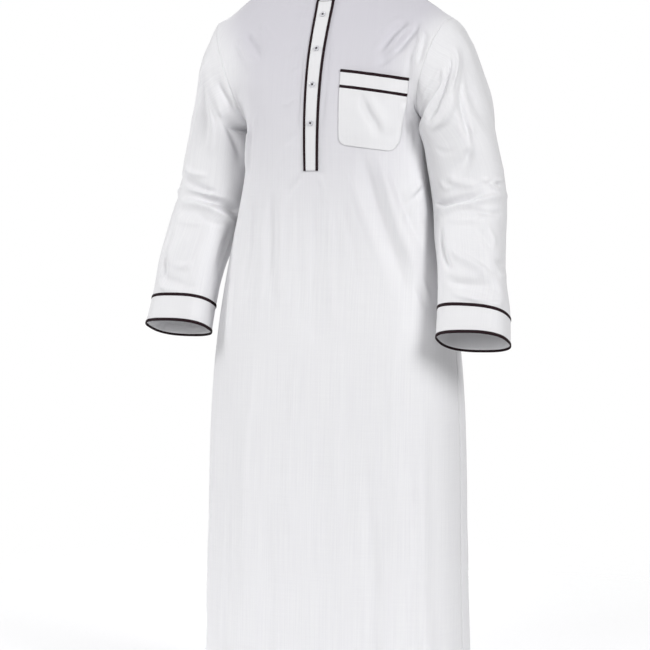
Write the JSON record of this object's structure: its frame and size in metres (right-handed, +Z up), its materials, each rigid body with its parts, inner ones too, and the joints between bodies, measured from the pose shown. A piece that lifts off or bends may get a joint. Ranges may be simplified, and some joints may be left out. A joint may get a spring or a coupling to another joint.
{
  "type": "thobe robe",
  "caption": "Long white thobe robe with a band collar, half placket, chest pocket, long sleeves and dark piping, hollow and open at neck, cuffs and hem.",
  "frame": {"origin": "middle of the neck opening, level with the points where the shoulder seams meet the collar, which is where the wearer's shoulders hold the robe up", "axes": "+Z up along the robe, front facing -Y, the wearer's left side at +X"},
  "size_m": [0.7392, 0.325, 1.4549],
  "materials": {
    "white_cotton": "smooth plain-woven cotton with a slight sheen",
    "dark_brown_piping": "matt woven tape",
    "white_button": "polished resin"
  },
  "bodies": {
    "root": {"front_body": "white_cotton", "front_skirt": "white_cotton", "back_body": "white_cotton", "back_skirt": "white_cotton", "sleeve_left": "white_cotton", "sleeve_right": "white_cotton", "cuff_left": "white_cotton", "cuff_right": "white_cotton", "collar": "white_cotton", "collar_lap": "white_cotton", "placket": "white_cotton", "pocket": "white_cotton", "pocket_band": "white_cotton", "placket_piping_left": "dark_brown_piping", "placket_piping_right": "dark_brown_piping", "collar_piping_left": "dark_brown_piping", "collar_piping_right": "dark_brown_piping", "pocket_piping_top": "dark_brown_piping", "pocket_piping_lower": "dark_brown_piping", "cuff_seam_piping_left": "dark_brown_piping", "cuff_seam_piping_right": "dark_brown_piping", "cuff_edge_piping_left": "dark_brown_piping", "cuff_edge_piping_right": "dark_brown_piping", "button_1": "white_button", "button_2": "white_button", "button_3": "white_button", "button_4": "white_button", "collar_button": "white_button"}
  },
  "joints": []
}
